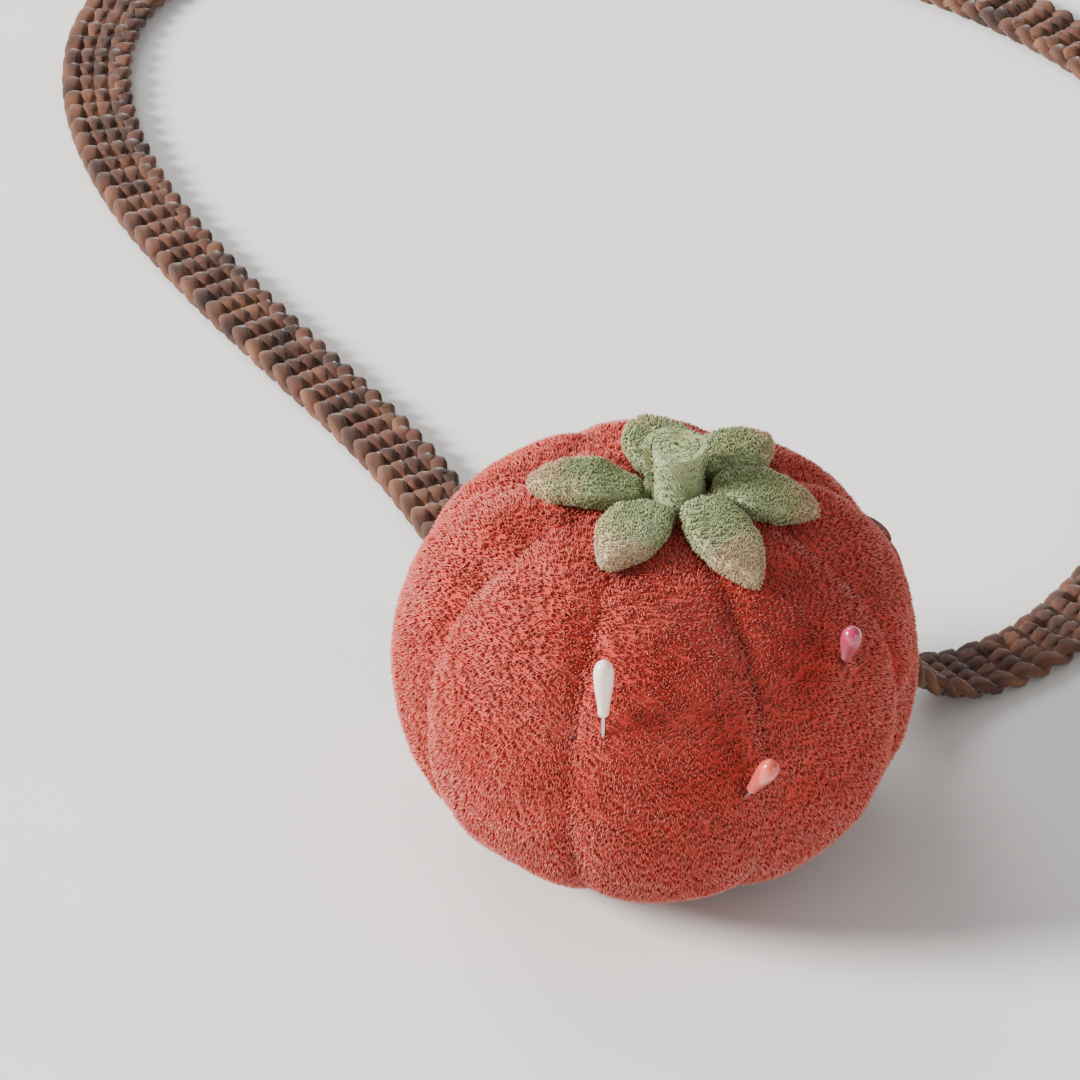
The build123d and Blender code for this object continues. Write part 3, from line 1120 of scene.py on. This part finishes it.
def lift(phase, strands):
    """Over 1 or under -1 at each crossing. It changes sides where the strand turns at an edge."""
    crossing = (phase + 0.25) % 1 * 2 * strands
    half = np.where(crossing < strands, 1.0, -1.0)
    within = crossing % strands
    near = np.minimum(within, strands - within)
    usual = half * np.cos(math.pi * within)
    before = half * np.where(within < strands / 2, 1.0, -np.cos(math.pi * strands))
    turning = -np.sin(math.pi * near / 2) * before
    return np.where(near < 1, turning, usual)


def strap_frame(line):
    """Steps along the strap: how far each is, its place, and its sideways and upward directions."""
    far = run_length(line)
    along = np.gradient(line, far, axis=0)
    side = np.stack([-along[:, 1], along[:, 0], np.zeros(len(along))], 1)
    # At its anchors the strap is upright, and keeps the side that it has where it first slopes.
    first, last = np.flatnonzero(np.linalg.norm(side, axis=1) > 0.1)[[0, -1]]
    side[: first + 1] = side[first]
    side[last:] = side[last]
    travel = np.linspace(0, far[-1], int(far[-1] / STRAND_STEP))
    centre = sampled(travel, far, line)
    ahead = unit(np.gradient(centre, axis=0))
    side = unit(lying(unit(sampled(travel, far, unit(side))), ahead))
    up = np.cross(ahead, side)
    return travel, centre, side, up * (-1 if up[len(up) // 2, 2] < 0 else 1)


def squarish(values):
    """A circle's cosine or sine, made flatter at its sides."""
    return np.sign(values) * np.abs(values) ** STRAND_SQUARENESS


def strand_points(path, up, wide, tall):
    """Rings round a strand's path, with their flat sides up and down."""
    run = unit(np.gradient(path, axis=0))
    over = unit(lying(up, run))
    across = np.cross(run, over)
    rings = (
        path[:, None] + across[:, None] * wide[None, :, None]
        + over[:, None] * tall[None, :, None]
    )
    return rings.reshape(-1, 3)


def strand_faces(start, count):
    """A tube's faces from its first point on, through all its rings, closed at both ends."""
    faces = []
    for ring in range(start, start + (count - 1) * STRAND_POINTS, STRAND_POINTS):
        for k in range(STRAND_POINTS):
            a, b = ring + k, ring + (k + 1) % STRAND_POINTS
            faces.append((a, b, b + STRAND_POINTS, a + STRAND_POINTS))
    foot = list(range(start, start + STRAND_POINTS))
    end = [point + (count - 1) * STRAND_POINTS for point in foot]
    return [*faces, foot[::-1], end]


def strand_map(travel, girth):
    """A strand's map in metres, round it and along it, for the yarn's plies."""
    corners = []
    for v0, v1 in zip(travel, travel[1:]):
        for k in range(STRAND_POINTS):
            u0, u1 = (turn / STRAND_POINTS * girth for turn in (k, k + 1))
            corners += [(u0, v0), (u1, v0), (u1, v1), (u0, v1)]
    return corners + [(0, 0)] * (2 * STRAND_POINTS)


def strand_rows(number, count, rows, strands):
    """A strand's rows in the strap's square map. The closed ends, which don't show, share a spot
    in the middle."""
    corners = []
    high = 1 / (rows * strands)
    for step in range(count - 1):
        row = step * rows // count
        x0 = step * rows / count - row
        x1 = min(x0 + rows / count, 1)
        for k in range(STRAND_POINTS):
            y0, y1 = (
                (number * rows + row + turn / STRAND_POINTS) * high for turn in (k, k + 1)
            )
            corners += [(x0, y0), (x0, y1), (x1, y1), (x1, y0)]
    turns = [math.tau * k / STRAND_POINTS for k in range(STRAND_POINTS)]
    spot = [(0.5 + 0.002 * math.cos(turn), 0.5 + 0.002 * math.sin(turn)) for turn in turns]
    return corners + spot * 2


class PINCUSHION_OT_strap(bpy.types.Operator):
    """Braids the flat strap along its route and sews its ends to felt anchors"""

    bl_idname = "pincushion.strap"
    bl_label = "Braided strap"

    def execute(self, context):
        sizes = context.scene.pincushion_strap
        self.braid(sizes)
        self.anchors(sizes)
        return {"FINISHED"}

    def braid(self, sizes):
        line = strap_line()
        travel, centre, side, up = strap_frame(line)
        count = len(travel)
        rows = math.ceil(travel[-1] / MAP_ROW)
        reach = (sizes.width - sizes.strand) / 2
        # At a crossing one strand lies over the other, both just inside the strap's faces.
        deep = (sizes.thickness - mm(0.1)) / 2
        thick = deep * 0.98
        angles = math.tau * np.arange(STRAND_POINTS) / STRAND_POINTS
        wide = squarish(np.cos(angles)) * sizes.strand / 2
        tall = squarish(np.sin(angles)) * thick / 2
        points, faces, metres, square, tones = [], [], [], [], []
        for number in range(sizes.strands):
            phase = travel / sizes.pitch + number / sizes.strands
            path = (
                centre + side * (swing(phase) * reach)[:, None]
                + up * (lift(phase, sizes.strands) * (deep - thick / 2))[:, None]
            )
            points.append(strand_points(path, up, wide, tall))
            faces += strand_faces(number * count * STRAND_POINTS, count)
            metres += strand_map(run_length(path), sizes.strand * STRAND_GIRTH)
            square += strand_rows(number, count, rows, sizes.strands)
            tone = STRAND_TONES * ((number * 4) % sizes.strands / sizes.strands - 0.5)
            tones += [tone] * (count * STRAND_POINTS)
        strap = mesh_piece("braided_strap", np.concatenate(points), faces)
        add_map(strap, "strand", metres)
        add_map(strap, "OFBake", square)
        add_values(strap, "tone", tones)
        smooth(strap)
        material = yarn_material(
            "braided_cotton_yarn", tuple(sizes.dark), tuple(sizes.middle), tuple(sizes.light), 0.45
        )
        dress(strap, material, stands_for=["strap"])

    def anchors(self, sizes):
        felt = felt_material("red_wool_felt", tuple(sizes.felt), colour("#FFC0B0"))
        for side in ("left", "right"):
            patch = node_copy(f"strap_anchor_{side}", f"felt_anchor_{side}")
            modify(patch, "REMESH", mode="VOXEL", voxel_size=mm(0.6))
            modify(patch, "SMOOTH", factor=0.5, iterations=6)
            modify(patch, "SUBSURF", levels=1, render_levels=1)
            smooth(patch)
            points = lumpy(patch, (mm(2.5), mm(0.2), 31), rise=mm(0.15))
            set_points(patch.data, self.drawn_in(points, side))
            dress(patch, felt, stands_for=[f"strap_anchor_{side}"])
        edit_all(
            node_copy("anchor_stitches", "anchor_bars"), bpy.ops.mesh.separate, type="LOOSE"
        )
        bars = list(bpy.context.selected_objects)
        model = stitch(BAR_STITCH, BAR_THREAD, "bar_stitch")
        made = []
        for count, bar in enumerate(bars):
            middle = points_of(bar.data).mean(0)
            out = unit(np.array([middle[0], middle[1], 0]))
            side = np.array([-out[1], out[0], 0])
            end = "left" if middle[0] < 0 else "right"
            for step in (-1, 0, 1):
                place = self.drawn_in(middle[None] + (0, 0, BAR_SPACING * step), end)[0]
                made.append(laid(model, place, side, out, f"bar_{count}_{step}"))
            bpy.data.objects.remove(bar)
        bpy.data.objects.remove(model)
        tacks = smooth(joined(made, "anchor_bar_tacks"))
        thread = thread_material("red_waxed_thread", tuple(sizes.tack))
        dress(tacks, thread, stands_for=["anchor_stitches"])
        for node, kind in (("base_felt", felt), ("tuft_thread", thread)):
            paint(node, kind)
        paint("tuft_button", button_material("cream_button"))

    def drawn_in(self, points, side):
        """An anchor's points when its thread is pulled tight: shorter and rounder."""
        low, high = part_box(f"strap_anchor_{side}")
        middle = (low + high) / 2
        out = unit(np.array([middle.x, middle.y, 0]))
        across = np.array([-out[1], out[0], 0])
        up = (points[:, 2] - low.z) / (high.z - low.z)
        away = np.abs(up - DRAWN_WIDEST) / (1 - DRAWN_WIDEST)
        width = DRAWN_WIDTH * np.sqrt(np.clip(1 - away**DRAWN_FULLNESS, 0, 1))
        drawn = points - across * ((points @ across) * (1 - width))[:, None] - out * DRAWN_IN
        drawn[:, 2] = low.z - DRAWN_DOWN + up * (high.z - low.z) * DRAWN_HEIGHT
        return drawn


def paint(node, material):
    """Gives a CAD node that is kept a better material."""
    mesh_object = frame["nodes"][node]
    for spot in mesh_object.material_slots:
        spot.link = "OBJECT"
        spot.material = material


# Pins


class PINCUSHION_OT_pins(bpy.types.Operator):
    """Turns the three pearl heads and polishes the shanks"""

    bl_idname = "pincushion.pins"
    bl_label = "Pins"

    def execute(self, context):
        sizes = context.scene.pincushion_pins
        steel = steel_material("nickel_plated_steel")
        for name in PIN_COLOURS:
            node = f"pin_head_{name}"
            joint = next(j for j in frame["joints"] if j["name"] == f"pin_{name}_pull")
            axis = Vector(joint["axis"])
            points = points_of(frame["nodes"][node].data)
            ends = points @ np.array(axis)
            middle = points[ends > ends.max() - sizes.radius].mean(0)
            foot = Vector(middle) + axis * (ends.min() - Vector(middle).dot(axis))
            head = self.head(sizes, f"pearl_head_{name}")
            turn = axis.to_track_quat("Z", "Y").to_matrix().to_4x4()
            head.data.transform(Matrix.Translation(foot) @ turn)
            material = pearl_material(f"{name}_pearl_lacquer", tuple(getattr(sizes, name)))
            dress(head, material, f"pin_{name}", [node])
            paint(f"pin_shank_{name}", steel)
        return {"FINISHED"}

    def head(self, sizes, name):
        """A drop turned round the shank: a neck with a small bead, then a swell to a round end."""
        top = sizes.length
        profile = [
            (0.0, 0.0), (sizes.neck * 0.8, 0.0), (sizes.neck * 1.12, top * 0.03),
            (sizes.neck * 1.05, top * 0.07), (sizes.neck * 1.15, top * 0.16),
            (sizes.radius * 0.80, top * 0.40), (sizes.radius * 0.96, top * 0.62),
            (sizes.radius, top * 0.78), (sizes.radius * 0.90, top * 0.90),
            (sizes.radius * 0.55, top * 0.975), (0.0, top),
        ]
        mesh = bpy.data.meshes.new(name)
        mesh.from_pydata(
            [(x, 0, z) for x, z in profile], [(k, k + 1) for k in range(len(profile) - 1)], []
        )
        head = bpy.data.objects.new(name, mesh)
        bpy.context.scene.collection.objects.link(head)
        edit_all(
            head, bpy.ops.mesh.spin, steps=24, angle=math.tau, center=(0, 0, 0), axis=(0, 0, 1)
        )
        edit_all(head, bpy.ops.mesh.remove_doubles, threshold=mm(0.005))
        edit_all(head, bpy.ops.mesh.normals_make_consistent, inside=False)
        modify(head, "SUBSURF", levels=2, render_levels=2)
        return smooth(head)


# Studio


FLOOR_SIZE = 16.0
# Each light's name, place, size and power. All are aimed at the origin.
LIGHTS = (
    ("key", (-3.2, -0.3, 1.6), 1.3, 400.0),
    ("fill", (2.4, -2.2, 0.9), 2.5, 44.0),
    ("back", (-1.3, 2.3, 2.3), 2.0, 60.0),
)


class PINCUSHION_OT_studio(bpy.types.Operator):
    """Sets up the camera, the lights and the floor"""

    bl_idname = "pincushion.studio"
    bl_label = "Studio"

    def execute(self, context):
        sizes = context.scene.pincushion_studio
        tilt = sizes.elevation
        back = Vector((0, -math.cos(tilt), math.sin(tilt)))
        rise = Vector((0, math.sin(tilt), math.cos(tilt)))
        gores = [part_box(f"gore_{number + 1}") for number in range(GORES)]
        middle = (min(low.z for low, _ in gores) + max(high.z for _, high in gores)) / 2
        aim = Vector((-sizes.aside, 0, middle)) + rise * sizes.above
        lens = bpy.data.cameras.new("camera")
        lens.lens = lens.sensor_width / sizes.framed * sizes.distance
        camera = bpy.data.objects.new("camera", lens)
        camera.location = aim + back * sizes.distance
        camera.rotation_mode = "QUATERNION"
        camera.rotation_quaternion = (-back).to_track_quat("-Z", "Y")
        context.scene.collection.objects.link(camera)
        context.scene.camera = camera
        for light in LIGHTS:
            self.light(context, *light)
        self.floor(context, sizes)
        return {"FINISHED"}

    def light(self, context, name, place, size, power):
        data = bpy.data.lights.new(name, "AREA")
        data.shape = "DISK"
        data.size = size
        data.energy = power
        lamp = bpy.data.objects.new(name, data)
        lamp.location = place
        lamp.rotation_mode = "QUATERNION"
        lamp.rotation_quaternion = (-Vector(place)).to_track_quat("-Z", "Y")
        context.scene.collection.objects.link(lamp)

    def floor(self, context, sizes):
        deselect()
        bpy.ops.mesh.primitive_plane_add(size=FLOOR_SIZE, location=(0, 0, 0))
        floor = context.object
        floor.name = "floor"
        material, tree, shader = new_material("matt_paper", Roughness=0.9)
        place = add(tree, "ShaderNodeTexCoord").outputs["Object"]
        grain = add(
            tree, "ShaderNodeTexNoise", {"Vector": place, "Scale": per_mm(30), "Detail": 2.0}
        )
        tint = tuple(sizes.floor)
        shade = add(
            tree, "ShaderNodeValToRGB", {"Fac": grain.outputs["Fac"]},
            [(0.3, tint), (0.7, toned(tint, 1.03))],
        )
        tree.links.new(shade.outputs["Color"], shader.inputs["Base Color"])
        floor.data.materials.append(material)
        world = bpy.data.worlds.new("studio_air")
        world.use_nodes = True
        context.scene.world = world
        background = world.node_tree.nodes["Background"]
        background.inputs["Color"].default_value = tuple(sizes.air)
        background.inputs["Strength"].default_value = 0.5


class PINCUSHION_PT_panel(bpy.types.Panel):
    """Lists the pieces of the pincushion"""

    bl_idname = "PINCUSHION_PT_panel"
    bl_label = "Tomato pincushion"
    bl_space_type = "VIEW_3D"
    bl_region_type = "UI"
    bl_category = "Pincushion"

    def draw(self, context):
        for operator, group in STEPS:
            box = self.layout.box()
            box.operator(operator.bl_idname)
            settings = getattr(context.scene, group)
            for name in settings.bl_rna.properties.keys():
                if name not in ("rna_type", "name"):
                    box.prop(settings, name)


GROUPS = {
    "pincushion_cushion": PINCUSHION_PG_cushion,
    "pincushion_calyx": PINCUSHION_PG_calyx,
    "pincushion_strap": PINCUSHION_PG_strap,
    "pincushion_pins": PINCUSHION_PG_pins,
    "pincushion_studio": PINCUSHION_PG_studio,
}
STEPS = (
    (PINCUSHION_OT_studio, "pincushion_studio"),
    (PINCUSHION_OT_strap, "pincushion_strap"),
    (PINCUSHION_OT_cushion, "pincushion_cushion"),
    (PINCUSHION_OT_calyx, "pincushion_calyx"),
    (PINCUSHION_OT_pins, "pincushion_pins"),
)
CLASSES = (*GROUPS.values(), *(operator for operator, _ in STEPS), PINCUSHION_PT_panel)


def register():
    for made in CLASSES:
        bpy.utils.register_class(made)
    for name, group in GROUPS.items():
        setattr(bpy.types.Scene, name, bpy.props.PointerProperty(type=group))


def unregister():
    for name in GROUPS:
        delattr(bpy.types.Scene, name)
    for made in reversed(CLASSES):
        bpy.utils.unregister_class(made)


def main():
    register()
    bpy.ops.pincushion.studio()
    bpy.ops.pincushion.strap()
    bpy.ops.pincushion.cushion()
    bpy.ops.pincushion.calyx()
    bpy.ops.pincushion.pins()


if __name__ == "__main__":
    main()
